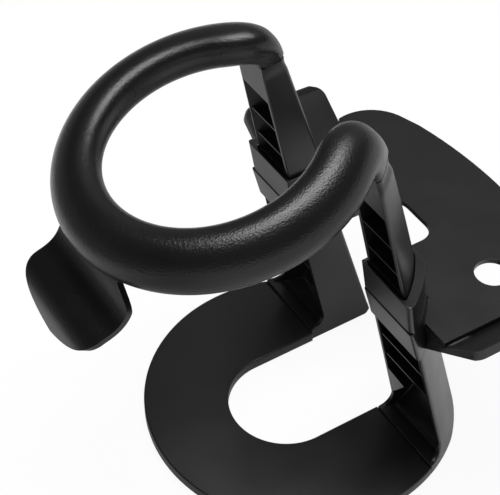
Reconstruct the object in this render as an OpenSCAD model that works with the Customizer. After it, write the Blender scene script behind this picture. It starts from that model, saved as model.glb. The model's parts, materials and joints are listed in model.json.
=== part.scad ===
// Ring-topped headset and headphone stand in black moulded plastic.
// X runs across the stand, Y towards its back, Z up from the floor.

/* [Base] */
// Radius of the round base
base_r = 88; // [84:1:92]
// How far the base's centre lies behind the slot's round end
base_cy = 10; // [8:1:12]
// Thickness of the base plate
base_t = 6.6; // [6:0.2:8]
// Half width of the slot in the base
slot_r = 32; // [28:0.5:32.5]
// How far back the plate ends and the leg feet begin
toe_y = 40; // [38:1:42]
// How far the rubber feet stand out below the base
foot_proud = 1; // [0.6:0.2:2]

/* [Lower legs] */
// Inner wall of the lower legs, from the middle
lower_x = 33.3; // [33:0.1:34]
// Height of the parting line above the base's underside
part_z = 113; // [111:0.5:115]
// Underside of the solid block at the top of the channel
block_z = 92; // [88:1:95]
// Wall thickness of the channel
wall = 2.4; // [2:0.1:3]

/* [Sockets] */
// Height of the socket's rim
rim_z = 134; // [132:0.5:136]
// Height of the ledge that carries the upper leg
ledge_z = 130; // [128:0.5:131]
// Gap between a leg and its socket
plug_gap = 0.3; // [0.2:0.05:0.4]

/* [Ring] */
// Height of the ring's middle line, half way along its hole
ring_z = 214.4; // [212:0.2:217]
// How far the ring's front dips
ring_tilt = 14.5; // [13:0.1:16]
// Radius of the ring's middle line
ring_r = 64.2; // [63:0.2:66]
// Middle of the ring, in front of the slot's round end
ring_cy = -44; // [-46:0.5:-42]
// Width of the ring's oval section
ring_w = 26; // [24:0.2:28]
// Height of the ring's oval section
ring_h = 24.8; // [23:0.2:26]
// Inner wall of the upper legs, from the middle
upper_x = 35.5; // [35:0.1:36]
// Height of the seam between the ring and the upper legs
seam_z = 212.5; // [210:0.5:214]

/* [Rear shelf and hooks] */
// Top of the shelf above the base's underside
shelf_z = 108; // [106:0.5:109]
// Thickness of the shelf and hooks
plate_t = 3; // [2.6:0.2:3.4]
// Half width of the shelf at its front
shelf_w = 82; // [80:0.5:84]
// Middle of the shelf's back edge
shelf_back = 133; // [128:1:138]
// Radius of the shelf's round holes
shelf_hole_r = 9.5; // [8:0.1:10]
// Outermost point of the hooks
hook_x = 106; // [103:0.5:108]
// Slope of the hooks
hook_slope = 35.5; // [33:0.5:37]

/* [Front rest] */
// Half width of the rest's neck
neck_w = 20.4; // [19:0.1:22]
// Half width of the rest's tongue
rest_w = 33.2; // [32:0.2:35]
// Foremost point of the tongue
rest_y = -133; // [-134:0.2:-131]
// Lowest point of the tongue
rest_z = 140.5; // [138:0.5:143]

/* [Hidden] */
$fn = 64;

black = "#262626";
soft_black = "#303030";
rubber = "#151515";
steel = "#8a8d90";

far = 300;              // larger than the stand, for half spaces
origin_y = -(rest_y + shelf_back) / 2;      // brings the middle of the stand over the origin
screw_r = 1.5;
head_r = 2.8;
head_h = 1.8;
slip = 0.15;            // clearance of pieces that are screwed together
over = 1;               // how far a cutting shape runs past the face it cuts

// Side outline of the legs: front and back edge at a height
lower_lean_back = 0.308;
function lower_front(z) = 52 - 0.232 * z;
function block_front(z) = 54 - 0.271 * z;
function lower_back(z) = 83 - lower_lean_back * z;
function upper_front(z) = 22.1 - 0.226 * (z - 137.3);
function upper_back(z) = 39 - 0.321 * (z - 151.7);
function socket_front(z) = 23.9 - 0.163 * (z - part_z);
function socket_back(z) = 49 - 0.09 * (z - part_z);

// The legs' outer walls lie on leaning cones: [height, middle, radius] at foot and top
lower_cone = [[0, -1.2, 93.9], [part_z, -22.8, 86.6]];
socket_cone = [[part_z, -22.8, 87.6], [rim_z, -25.5, 87.8]];
upper_cone = [[rim_z, -25, 81.6], [208, -31.5, 72.4]];

// Plug of the upper leg: low corner, size and lean of the straight tongue
plug_x = upper_x + 2;
plug_w = 11;
plug_d = 13;
plug_len = 12;
slide_lean = 15.3;
plug_y = (upper_front(ledge_z) + upper_back(ledge_z)) / 2;
seam_y = (upper_front(seam_z) + upper_back(seam_z)) / 2;

hook_y0 = 37.6;
hook_y1 = 90;
hook_front_r = 5;
hook_back_r = 8;
lip_t = 2.4;            // raised lip round a hook's tip: its thickness, and its height at root and tip
lip_h0 = 1.5;
lip_h1 = 3;
hook_in = 26;           // how far a hook's plate runs in under the shelf
flange_y = [57, 89];
hook_screw_in = 2;
flange_t = 3;
flange_x0 = 66;
shelf_edge = shelf_w + 0.5;

foot_r = 6.5;
foot_sink = 1;
foot_spots = [[0, -58], [-62, -20], [62, -20], [-50, 62], [50, 62]];
tongue_x0 = 40;
tongue_x1 = 60;
tongue_y = toe_y + 16;
tongue_t = 2.6;
foot_screw_spots = [[44, toe_y + 10], [56, toe_y + 10]];
foot_screw_len = 5.2;
socket_screw_spot = [53, 36];
socket_screw_in = 9;    // how deep the sockets' screws go past the parting line
lug_x0 = 36;
lug_x1 = 46;
lug_t = 3.5;
lug_z = 90;
shelf_screw_z = 97;
shelf_screw_in = 8;     // how deep the shelf's screws go into the legs
hook_screw_spots = [[71, 66], [71, 82]];
tenon_x = 39.6;
tenon_w = 5.6;
tenon_d = 5;
tenon_h = 4;

// Tools

module on_base() translate([0, origin_y, foot_proud]) children();

function mix(a, b, t) = a + (b - a) * t;

module both_sides() {
    children();
    mirror([1, 0, 0]) children();
}

// A side outline in Y and Z, given its width along X
module yz_slab(x0, w, pts) translate([x0, 0, 0]) rotate([90, 0, 90]) linear_extrude(w) polygon(pts);

module rod(p, q, r1, r2) {
    d = q - p;
    translate(p) rotate([0, acos(d.z / norm(d)), atan2(d.y, d.x)])
        cylinder(h = norm(d), r1 = r1, r2 = r2);
}

cone_over = 40;

// Leaning cone through two circles, carried on past both of them
module wall_cone(cone, inset = 0) {
    a = cone[0];
    b = cone[1];
    step = (b - a) / (b[0] - a[0]);
    low = a - cone_over * step;
    high = b + cone_over * step;
    rod([0, low[1], low[0]], [0, high[1], high[0]], low[2] - inset, high[2] - inset);
}

// Frame of the seam at the top of an upper leg, square to the leg
module seam_frame() translate([0, seam_y, seam_z]) rotate([slide_lean, 0, 0]) children();

// Turns a straight tongue to the direction in which the upper leg pulls out
module slide_frame() translate([plug_x, plug_y, ledge_z]) rotate([slide_lean, 0, 0]) children();

// Base

function lip(r, t, e) = concat([[0, 0]],
    [for (a = [-90:15:0]) [r - e + e * cos(a), e + e * sin(a)]],
    [for (a = [0:15:90]) [r - e + e * cos(a), t - e + e * sin(a)]], [[0, t]]);

base_lip = 1.5;         // round of the plate's rim

module base_disc(t) translate([0, base_cy, 0]) rotate_extrude($fn = 128) polygon(lip(base_r, t, base_lip));

module slot_cut() translate([0, 0, -over]) {
    cylinder(h = base_t + 2 * over, r = slot_r);
    translate([-slot_r, 0, 0]) cube([2 * slot_r, far, base_t + 2 * over]);
}

module tongue(grow = 0) translate([tongue_x0 - grow, toe_y - 1, -grow])
    cube([tongue_x1 - tongue_x0 + 2 * grow, tongue_y - toe_y + 1 + grow, tongue_t + 2 * grow]);

module foot_screw_holes(r) for (s = foot_screw_spots) translate([s.x, s.y, -over])
    cylinder(h = foot_screw_len + over, r = r);

module foot_wells() for (s = foot_spots) translate([s.x, s.y, -over])
    cylinder(h = over + foot_sink, r = foot_r + slip);

module base_plate() color(soft_black) on_base() difference() {
    union() {
        intersection() {
            base_disc(base_t);
            translate([-far / 2, -far, -1]) cube([far, far + toe_y, far]);
        }
        both_sides() tongue();
    }
    slot_cut();
    both_sides() foot_screw_holes(screw_r + slip);
    both_sides() for (s = foot_screw_spots) translate([s.x, s.y, -over])
        cylinder(h = over + head_h, r = head_r + slip);
    foot_wells();
}

module rubber_feet() color(rubber) for (s = foot_spots) translate([s.x, s.y + origin_y, 0])
    cylinder(h = foot_proud + foot_sink, r = foot_r);

module foot_screws() color(steel) on_base() both_sides() for (s = foot_screw_spots) translate(s) {
    cylinder(h = head_h, r = head_r);
    cylinder(h = foot_screw_len, r = screw_r);
}

// Lower legs

toe_fillet = 8;
toe_top = base_t + 1.4; // the feet stand a little above the plate at their joint
heel = 3;               // bevel at the back of the foot
scoop_top = 40;
scoop_low = toe_top - 0.8;
scoop_y0 = toe_y + 7;
scoop_y1 = lower_back(scoop_top) - wall;
skin_t = 2.8;           // thickness of the legs' round outer wall

// Side outline of a lower leg with its toe and the round inside corner above the toe
function lower_outline() = let(z = toe_top + toe_fillet, y = lower_front(z) - toe_fillet)
    concat([[toe_y, 0], [toe_y, toe_top]],
    [for (a = [-90:15:-15]) [y + toe_fillet * cos(a), z + toe_fillet * sin(a)]],
    [[y + toe_fillet, z], [lower_front(block_z), block_z], [block_front(block_z), block_z],
        [block_front(part_z), part_z], [lower_back(part_z), part_z], [lower_back(heel), heel],
        [lower_back(0) - heel, 0]]);

// Side outline of the channel: open at the front, with a floor that sweeps forward into the toe
function channel_outline() = concat([[scoop_y0, toe_top], [0, toe_top], [0, block_z],
    [lower_back(block_z) - wall, block_z]],
    [for (a = [90:-10:0]) [mix(scoop_y0, scoop_y1, sin(a)), mix(scoop_top, scoop_low, cos(a))]]);

module lower_outer(inset = 0) intersection() {
    wall_cone(lower_cone, inset);
    translate([0, base_cy, -1]) cylinder(h = far, r = base_r - inset, $fn = 128);
}

rib_t = 1.2;
rib_heights = [73, 55];
web_x = lower_x + 16.5; // widest point of the web above the foot
web_z = [15, 39, 41.5]; // its lowest, widest and highest point

// Web that closes the channel's inner corner above the foot
module foot_web() translate([0, far, 0]) rotate([90, 0, 0]) linear_extrude(far)
    polygon([[lower_x, web_z[0]], [web_x, web_z[1]], [lower_x, web_z[2]]]);

module lower_leg() on_base() difference() {
    union() {
        difference() {
            intersection() {
                yz_slab(lower_x, far, lower_outline());
                lower_outer();
            }
            intersection() {
                yz_slab(lower_x + wall, far, channel_outline());
                lower_outer(skin_t);
            }
        }
        intersection() {
            yz_slab(lower_x, far, lower_outline());
            foot_web();
        }
        for (z = rib_heights) intersection() {
            yz_slab(lower_x + 1, far, [[lower_front(z) + 1, z], [lower_front(z + rib_t) + 1, z + rib_t],
                [lower_back(z) - 1, z + rib_t], [lower_back(z) - 1, z]]);
            lower_outer(skin_t / 2);
        }
    }
    tongue(slip);
    foot_screw_holes(screw_r);
    foot_wells();
    translate([socket_screw_spot.x, socket_screw_spot.y, block_z - over])
        cylinder(h = far, r = screw_r + slip);
    shelf_screw_axis() translate([0, 0, -shelf_screw_in - over])
        cylinder(h = shelf_screw_in + 2 * over, r = screw_r);
}

module left_lower_leg() color(black) mirror([1, 0, 0]) lower_leg();

module right_lower_leg() color(black) lower_leg();

// Sockets

module socket() on_base() difference() {
    intersection() {
        yz_slab(lower_x, far, [[socket_front(part_z), part_z], [socket_front(rim_z), rim_z],
            [socket_back(rim_z), rim_z], [socket_back(part_z), part_z]]);
        wall_cone(socket_cone);
    }
    intersection() {
        yz_slab(upper_x - 2 * plug_gap, far, [[upper_front(ledge_z) - 2 * plug_gap, ledge_z],
            [upper_front(rim_z) - 3 * plug_gap, rim_z + 1], [upper_back(rim_z) + 2 * plug_gap, rim_z + 1],
            [upper_back(ledge_z) + 2 * plug_gap, ledge_z]]);
        wall_cone(upper_cone, -2 * plug_gap);
    }
    slide_frame() translate([-plug_gap, -plug_d / 2 - plug_gap, -plug_len - over])
        cube([plug_w + 2 * plug_gap, plug_d + 2 * plug_gap, far]);
    translate([socket_screw_spot.x, socket_screw_spot.y, part_z - over])
        cylinder(h = socket_screw_in + 2 * over, r = screw_r);
}

module left_socket() color(black) mirror([1, 0, 0]) socket();

module right_socket() color(black) socket();

module socket_screw() translate([socket_screw_spot.x, socket_screw_spot.y, block_z - head_h]) {
    cylinder(h = head_h, r = head_r);
    cylinder(h = head_h + part_z - block_z + socket_screw_in, r = screw_r);
}

module socket_screws() color(steel) on_base() both_sides() socket_screw();

// Rear shelf

shelf_y = 38;
shelf_side_y = 90.6;
corner_r = 27;
corner_c = [61, 97];
bow_r = 260;
function shelf_half() = concat([[shelf_w, shelf_y], [shelf_edge, shelf_side_y]],
    [for (a = [-13:8:75]) corner_c + corner_r * [cos(a), sin(a)]],
    [for (x = [58:-8:2]) [x, shelf_back - bow_r + sqrt(bow_r * bow_r - x * x)]]);
function mirrored(pts) = [for (i = [len(pts) - 1:-1:0]) [-pts[i].x, pts[i].y]];

notch_w = 17.8;
notch_y = 81.6;
notch_r = 10;
shelf_hole = [55.9, 88.5];

module shelf_notch() {
    translate([-notch_w, 0]) square([2 * notch_w, notch_y - notch_r]);
    translate([-notch_w + notch_r, 0]) square([2 * (notch_w - notch_r), notch_y]);
    for (x = [-1, 1]) translate([x * (notch_w - notch_r), notch_y - notch_r]) circle(notch_r);
}

// Axis of the screw that holds a shelf lug to the back of a leg, Z pointing out of the leg
module shelf_screw_axis() translate([(lug_x0 + lug_x1) / 2, lower_back(shelf_screw_z), shelf_screw_z])
    rotate([-90 + atan(lower_lean_back), 0, 0]) children();

lug_top = shelf_z - plate_t / 2;
lug_run = lug_t / cos(atan(lower_lean_back));

module shelf_lug() difference() {
    yz_slab(lug_x0, lug_x1 - lug_x0, [[lower_back(lug_z), lug_z], [lower_back(lug_top), lug_top],
        [lower_back(lug_top) + lug_run, lug_top], [lower_back(lug_z) + lug_run, lug_z]]);
    shelf_screw_axis() translate([0, 0, -over]) cylinder(h = lug_t + 2 * over, r = screw_r + slip);
}

// The tops of the legs, which the shelf is cut out for
module leg_clearance() intersection() {
    yz_slab(lower_x - 2 * slip, far, [[0, lug_z], [lower_back(lug_z) + 2 * slip, lug_z],
        [lower_back(part_z) + 2 * slip, part_z], [0, part_z]]);
    wall_cone(lower_cone, -2 * slip);
}

module rear_shelf() color(soft_black) on_base() {
    difference() {
        translate([0, 0, shelf_z - plate_t]) linear_extrude(plate_t) difference() {
            polygon(concat(shelf_half(), mirrored(shelf_half())));
            shelf_notch();
            both_sides() translate(shelf_hole) circle(shelf_hole_r);
        }
        both_sides() leg_clearance();
        both_sides() for (s = hook_screw_spots) translate([s.x, s.y, shelf_z - plate_t - over])
            cylinder(h = hook_screw_in + over + slip, r = screw_r);
    }
    both_sides() shelf_lug();
}

module shelf_screws() color(steel) on_base() both_sides() shelf_screw_axis() {
    translate([0, 0, -shelf_screw_in]) cylinder(h = shelf_screw_in + lug_t, r = screw_r);
    translate([0, 0, lug_t]) cylinder(h = head_h, r = head_r);
}

// Side hooks

hook_root = [shelf_edge + slip, shelf_z - plate_t];
hook_reach = (hook_x - hook_root.x) / cos(hook_slope);

// A hook's outline before it is turned up, from inside the shelf's edge to its round tip
function hook_points(inset) = let(f = hook_front_r - inset, b = hook_back_r - inset, w = hook_y1 - hook_y0)
    concat([[-hook_in, inset]],
    [for (a = [-90:15:0]) [hook_reach - hook_front_r + f * cos(a), hook_front_r + f * sin(a)]],
    [for (a = [0:10:90]) [hook_reach - hook_back_r + b * cos(a), w - hook_back_r + b * sin(a)]],
    [[-hook_in, w - inset]]);

module hook_blank() translate([0, hook_y0, -plate_t]) linear_extrude(plate_t) polygon(hook_points(0));

// Point on a hook's top face, at a distance out from its root
function hook_at(d) = hook_root + d * [cos(hook_slope), sin(hook_slope)];

// Upright lip that rises along the hook's front edge and runs round its tip
module hook_lip() intersection() {
    translate([hook_root.x, hook_y0, 0]) linear_extrude(far) scale([cos(hook_slope), 1]) difference() {
        polygon(hook_points(0));
        polygon(hook_points(lip_t));
    }
    translate([0, hook_y1 - hook_back_r, 0]) rotate([90, 0, 0])
        linear_extrude(hook_y1 - hook_back_r - hook_y0)
            polygon([hook_at(over) - [0, over], hook_at(hook_reach) - [0, over],
                hook_at(hook_reach) + [0, lip_h1], hook_at(over) + [0, lip_h0]]);
}

// Upright web along a hook's front edge, between its plate and the shelf
module hook_web() translate([0, hook_y0 + lip_t, 0]) rotate([90, 0, 0]) linear_extrude(lip_t)
    polygon([hook_at(-hook_in) - [0, over], hook_root - [0, over], hook_root - [0, slip],
        [hook_at(-hook_in).x, hook_root.y - slip]]);

module side_hook() on_base() difference() {
    union() {
        translate([hook_root.x, 0, hook_root.y]) rotate([0, -hook_slope, 0]) hook_blank();
        hook_lip();
        hook_web();
        translate([flange_x0, flange_y[0], shelf_z - plate_t - flange_t])
            cube([shelf_edge - flange_x0, flange_y[1] - flange_y[0], flange_t]);
    }
    wall_cone(lower_cone, -slip);
    translate([0, 0, shelf_z - plate_t]) cube([shelf_edge + slip / 2, far, plate_t]);
    for (s = hook_screw_spots) translate([s.x, s.y, lug_z])
        cylinder(h = shelf_z - lug_z, r = screw_r + slip);
}

module left_side_hook() color(soft_black) mirror([1, 0, 0]) side_hook();

module right_side_hook() color(soft_black) side_hook();

module hook_screw(s) translate([s.x, s.y, shelf_z - plate_t - flange_t]) {
    translate([0, 0, -head_h]) cylinder(h = head_h, r = head_r);
    cylinder(h = flange_t + hook_screw_in, r = screw_r);
}

module hook_screws() color(steel) on_base() both_sides() for (s = hook_screw_spots) hook_screw(s);

// Upper legs

upper_block_z = 188;
upper_floor_z = rim_z + 2;
upper_rib_heights = [166, 147];
upper_end = ring_z + 20;    // the leg is drawn this high before the seam cuts it
upper_foot = ledge_z + slip;

module upper_leg() on_base() difference() {
    union() {
        difference() {
            intersection() {
                yz_slab(upper_x, far, [[upper_front(upper_foot), upper_foot],
                    [upper_front(upper_end), upper_end], [upper_back(upper_end), upper_end],
                    [upper_back(upper_foot), upper_foot]]);
                wall_cone(upper_cone);
            }
            intersection() {
                yz_slab(upper_x + wall, far, [[0, upper_floor_z], [0, upper_block_z],
                    [upper_back(upper_block_z) - wall, upper_block_z],
                    [upper_back(upper_floor_z) - wall, upper_floor_z]]);
                wall_cone(upper_cone, skin_t);
            }
        }
        for (z = upper_rib_heights) intersection() {
            yz_slab(upper_x + 1, far, [[upper_front(z) + 1, z], [upper_front(z + rib_t) + 1, z + rib_t],
                [upper_back(z) - 1, z + rib_t], [upper_back(z) - 1, z]]);
            wall_cone(upper_cone, skin_t / 2);
        }
        slide_frame() translate([0, -plug_d / 2, -plug_len]) cube([plug_w, plug_d, plug_len + 4]);
    }
    seam_frame() translate([-far / 2, -far / 2, 0]) difference() {
        cube(far);
        translate([far / 2 + tenon_x, (far - tenon_d) / 2, -over]) cube([tenon_w, tenon_d, tenon_h + over]);
    }
}

module left_upper_leg() color(black) mirror([1, 0, 0]) upper_leg();

module right_upper_leg() color(black) upper_leg();

// Ring

shell_t = 2.4;
oval_lean = 0.3;        // how far the oval's long axis falls towards the outside
arc_end = 125.5;        // last angle of the ring's own circle, from its front
arc_steps = 24;
bend_steps = 10;
half_steps = 12;        // facets over half a section
end_w = 10;             // the legs' section at the seam: half width, depth and slant of its outer wall
end_d = 15.6;
end_slant = 0.85;
end_back = 0.5;         // how far back it lies of the middle of the leg
end_power = 0.62;       // how round its corners are
end_x = upper_x + end_w;
ring_pull = 0.72;       // how far the elbow holds its heading from the ring and into the leg,
leg_pull = 0.27;        // as a share of each line's length

function unit(v) = v / norm(v);
function signed_pow(v, e) = sign(v) * pow(abs(v), e);
function tilted(p) = [p.x, ring_y0 + (p.y - ring_y0) * cos(ring_tilt) - p.z * sin(ring_tilt),
    ring_z + (p.y - ring_y0) * sin(ring_tilt) + p.z * cos(ring_tilt)];
ring_y0 = -36;
ring_up = [0, -sin(ring_tilt), cos(ring_tilt)];
leg_down = [0, sin(slide_lean), -cos(slide_lean)];
leg_back = [0, cos(slide_lean), sin(slide_lean)];
function arc_pt(a) = tilted([ring_r * sin(a), ring_cy - ring_r * cos(a), 0]);
function arc_out(a) = unit(tilted([(ring_r + 1) * sin(a), ring_cy - (ring_r + 1) * cos(a), 0]) - arc_pt(a));
function arc_way(a) = unit(arc_pt(a + 0.5) - arc_pt(a - 0.5));

// Each line of the elbow is a cubic from the ring's last section down into the leg's top section
function cubic(c, t) = let(u = 1 - t)
    u * u * (u * c[0] + 3 * t * c[1]) + t * t * (3 * u * c[2] + t * c[3]);
function bend(p, q, t) = let(d = norm(q - p))
    cubic([p, p + ring_pull * d * arc_way(arc_end), q - leg_pull * d * leg_down, q], t);

// Section points: a leaning oval on the ring, a box with a slanting outer wall at the seam
function oval(a, inset) = [(ring_w / 2 - inset) * cos(a),
    (ring_h / 2 - inset) * (sqrt(1 - oval_lean * oval_lean) * sin(a) - oval_lean * cos(a))];
function boxy(a, inset) = let(y = (end_d / 2 - inset) * signed_pow(sin(a), end_power),
    w = end_w - inset - (cos(a) > 0 ? end_slant * y : 0)) [w * signed_pow(cos(a), end_power), y];

function arc_section(a, k, inset) = let(s = oval(k, inset)) arc_pt(a) + s.x * arc_out(a) + s.y * ring_up;
function seam_section(k, inset) = let(s = boxy(k, inset))
    [end_x + s.x, seam_y, seam_z] + (s.y + end_back) * leg_back;

// One ring of points at station i, the front being 0, over the given angles
function line_point(n, k, inset) = let(t = (n - arc_steps) / bend_steps,
    q = arc_section(arc_end * min(n, arc_steps) / arc_steps, k, inset))
    t > 0 ? bend(q, seam_section(k, inset), t) : q;
function section(i, angles, inset) = [for (k = angles) let(p = line_point(abs(i), k, inset))
    [i < 0 ? -p.x : p.x, p.y, p.z]];

stations = [for (i = [-arc_steps - bend_steps:arc_steps + bend_steps]) i];
function span(a, b) = [for (k = [0:half_steps]) a + (b - a) * k / half_steps];
function half_shell(i, a) = concat(section(i, span(a, a + 180), 0), section(i, span(a + 180, a), shell_t));

// Closed skin over a row of equal sections
module skin(rows) {
    n = len(rows[0]);
    m = len(rows);
    sides = [for (j = [0:m - 2], k = [0:n - 1]) let(k2 = (k + 1) % n)
        each [[j * n + k, j * n + k2, (j + 1) * n + k2], [j * n + k, (j + 1) * n + k2, (j + 1) * n + k]]];
    last = (m - 1) * n;
    first_end = [for (k = [0:n / 2 - 2]) each [[k, n - 2 - k, k + 1], [k, n - 1 - k, n - 2 - k]]];
    last_end = [for (t = first_end) [last + t[0], last + t[2], last + t[1]]];
    polyhedron([for (r = rows) each r], concat(sides, first_end, last_end));
}

module ring_upper_shell() color(black) on_base() skin([for (i = stations) half_shell(i, 0)]);

module ring_lower_shell() color(black) on_base() skin([for (i = stations) half_shell(i, 180)]);

// Front rest

neck_y = -104.5;
neck_top = 187;
neck_end = 169;
tip_y = rest_y + plate_t / 2;
rest_turn = [-119, 158];        // where the tongue lies flattest, and which way it heads there
rest_fall = [-0.96, -0.28];
turn_in = 11;                   // how far the curve holds that heading before and after it
turn_out = 9;
tip_drop = 11;                  // and how far the tip falls straight down
neck_curve = [[neck_y, neck_top], [neck_y, neck_end], rest_turn - turn_in * rest_fall, rest_turn];
tip_curve = [rest_turn, rest_turn + turn_out * rest_fall, [tip_y, rest_z + tip_drop], [tip_y, rest_z]];
rest_steps = 12;

// Middle line of the tongue in Y and Z: down from the ring, forwards, and down again at its tip
function rest_at(t) = t < 1 ? cubic(neck_curve, t) : cubic(tip_curve, t - 1);
function rest_way(t) = unit(rest_at(min(t + 0.01, 2)) - rest_at(max(t - 0.01, 0)));
function rest_line(depth) = [for (k = [0:2 * rest_steps]) let(t = k / rest_steps, w = rest_way(t))
    rest_at(t) + depth * [-w.y, w.x]];
function reversed(p) = [for (i = [len(p) - 1:-1:0]) p[i]];

// Half width at a height: a narrow neck, a flare, the full width and a blunt point
flare_top = 178;
flare_end = 167.5;
taper_top = 157;
tip_blunt = [1.6, 0.85];        // the two powers that make the point blunt
function eased(t) = t * t * (3 - 2 * t);
function point_half(t) = rest_w * pow(1 - pow(t, tip_blunt[0]), tip_blunt[1]);
function rest_half(z) = z > flare_top ? neck_w
    : z > flare_end ? mix(neck_w, rest_w, eased((flare_top - z) / (flare_top - flare_end)))
    : z > taper_top ? rest_w : point_half((taper_top - z) / (taper_top - rest_z));
rest_side = concat([for (z = [neck_top + over:-1.5:taper_top]) [rest_half(z), z]],
    [for (k = [0:15]) let(z = mix(taper_top, rest_z, k / 16)) [rest_half(z), z]]);

module front_rest() color(soft_black) on_base() intersection() {
    yz_slab(-rest_w - over, 2 * (rest_w + over),
        concat(rest_line(-plate_t / 2), reversed(rest_line(plate_t / 2))));
    rotate([90, 0, 0]) linear_extrude(far) polygon(concat(rest_side, [[0, rest_z]], mirrored(rest_side)));
}

base_plate();
rubber_feet();
foot_screws();
left_lower_leg();
right_lower_leg();
left_socket();
right_socket();
socket_screws();
rear_shelf();
shelf_screws();
left_side_hook();
right_side_hook();
hook_screws();
left_upper_leg();
right_upper_leg();
ring_upper_shell();
ring_lower_shell();
front_rest();
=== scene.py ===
import json
import math
import bmesh
import bpy
import numpy as np
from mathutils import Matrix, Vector

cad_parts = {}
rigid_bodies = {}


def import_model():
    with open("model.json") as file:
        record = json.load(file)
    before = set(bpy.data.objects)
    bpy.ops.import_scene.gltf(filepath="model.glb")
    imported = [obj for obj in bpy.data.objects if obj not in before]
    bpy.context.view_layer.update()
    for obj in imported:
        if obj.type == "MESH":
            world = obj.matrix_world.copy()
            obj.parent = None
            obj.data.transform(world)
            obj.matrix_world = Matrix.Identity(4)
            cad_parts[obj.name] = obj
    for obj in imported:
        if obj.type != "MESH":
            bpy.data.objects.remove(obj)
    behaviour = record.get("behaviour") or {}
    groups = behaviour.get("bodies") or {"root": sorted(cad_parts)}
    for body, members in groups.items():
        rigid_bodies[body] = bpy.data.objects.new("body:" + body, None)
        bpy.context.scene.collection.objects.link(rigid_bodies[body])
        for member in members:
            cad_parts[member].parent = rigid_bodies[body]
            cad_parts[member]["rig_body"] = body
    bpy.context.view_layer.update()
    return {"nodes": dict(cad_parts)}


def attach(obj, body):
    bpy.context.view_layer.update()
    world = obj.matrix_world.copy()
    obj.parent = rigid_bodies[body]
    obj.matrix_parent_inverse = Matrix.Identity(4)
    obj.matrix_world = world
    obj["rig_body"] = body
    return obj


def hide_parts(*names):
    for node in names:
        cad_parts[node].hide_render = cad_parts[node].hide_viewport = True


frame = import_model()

print("frame loaded:", len(frame["nodes"]), "nodes")

# All shape numbers below are in mm, measured from the middle of the slot's round end at the base's
# underside: x to the right leg, y to the back, z up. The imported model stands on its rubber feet, so
# every point is lifted by what they stand proud.
mm, perMetre = 0.001, 1000.0
placing = {"lift": 1.0}


def toFrame(points):
    # mm in the stand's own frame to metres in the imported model's frame
    return (np.asarray(points, float) + (0.0, 0.0, placing["lift"])) * mm


def srgb(hexCode):
    # sRGB hex to linear RGBA
    c = np.array([int(hexCode[i:i + 2], 16) for i in (1, 3, 5)]) / 255
    linear = np.where(c <= 0.04045, c / 12.92, ((c + 0.055) / 1.055) ** 2.4)
    return (*linear.tolist(), 1.0)


def addNode(tree, kind, settings=None, links=None):
    # one node with its settings, its socket values and the sockets that feed it
    node = tree.nodes.new(kind)
    for key, value in (settings or {}).items():
        setattr(node, key, value)
    for key, value in (links or {}).items():
        if isinstance(value, bpy.types.NodeSocket):
            tree.links.new(value, node.inputs[key])
        else:
            node.inputs[key].default_value = value
    return node


def newMaterial(name):
    material = bpy.data.materials.new(name)
    material.use_nodes = True
    material.node_tree.nodes.clear()
    return material, material.node_tree


# ABS moulded in a spark-eroded steel tool: near black, satin, with a fine pebble that breaks up
# every highlight into sparks and a faint drift in gloss where the plastic flowed. Grain sizes are in mm.
moulding = {"pebbleRound": 0.6, "fineDetail": 2.0, "fineShare": 0.5, "flowDetail": 3.0,
            "flowSpan": (0.3, 0.7), "glossDrift": 0.03, "ior": 1.54}


def mouldedAbs(name, look):
    material, tree = newMaterial(name)
    where = addNode(tree, "ShaderNodeTexCoord").outputs["Object"]
    pebble = addNode(tree, "ShaderNodeTexVoronoi", {"feature": "SMOOTH_F1"},
                     {"Vector": where, "Scale": perMetre / look["pebbleMm"],
                      "Smoothness": moulding["pebbleRound"]})
    fine = addNode(tree, "ShaderNodeTexNoise", {},
                   {"Vector": where, "Scale": perMetre / look["fineMm"], "Detail": moulding["fineDetail"]})
    flow = addNode(tree, "ShaderNodeTexNoise", {},
                   {"Vector": where, "Scale": perMetre / look["flowMm"], "Detail": moulding["flowDetail"]})
    grain = addNode(tree, "ShaderNodeMath", {"operation": "MULTIPLY_ADD"},
                    {0: fine.outputs["Fac"], 1: moulding["fineShare"], 2: pebble.outputs["Distance"]})
    tint = addNode(tree, "ShaderNodeMix", {"data_type": "RGBA"},
                   {"Factor": flow.outputs["Fac"], "A": srgb(look["dark"]), "B": srgb(look["light"])})
    flowLow, flowHigh = moulding["flowSpan"]
    gloss = addNode(tree, "ShaderNodeMapRange", {},
                    {"Value": flow.outputs["Fac"], "From Min": flowLow, "From Max": flowHigh,
                     "To Min": look["roughness"] - moulding["glossDrift"],
                     "To Max": look["roughness"] + moulding["glossDrift"]})
    bump = addNode(tree, "ShaderNodeBump", {},
                   {"Height": grain.outputs["Value"], "Strength": look["bump"],
                    "Distance": look["depthMm"] * mm})
    shader = addNode(tree, "ShaderNodeBsdfPrincipled", {},
                     {"Base Color": tint.outputs["Result"], "Roughness": gloss.outputs["Result"],
                      "IOR": moulding["ior"], "Specular IOR Level": look["specular"],
                      "Normal": bump.outputs["Normal"]})
    addNode(tree, "ShaderNodeOutputMaterial", {}, {"Surface": shader.outputs["BSDF"]})
    return material


# the ring has the coarser pebble, drawn at 0.85 mm so that it shows at this image size
ringAbs = mouldedAbs("grained moulded ABS", {
    "dark": "#131314", "light": "#171718", "roughness": 0.26, "specular": 0.36, "pebbleMm": 0.85,
    "fineMm": 0.4, "flowMm": 30.0, "bump": 0.95, "depthMm": 0.11})
frameAbs = mouldedAbs("satin moulded ABS", {
    "dark": "#131314", "light": "#171718", "roughness": 0.33, "specular": 0.5, "pebbleMm": 0.6,
    "fineMm": 0.3, "flowMm": 24.0, "bump": 0.22, "depthMm": 0.06})


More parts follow.
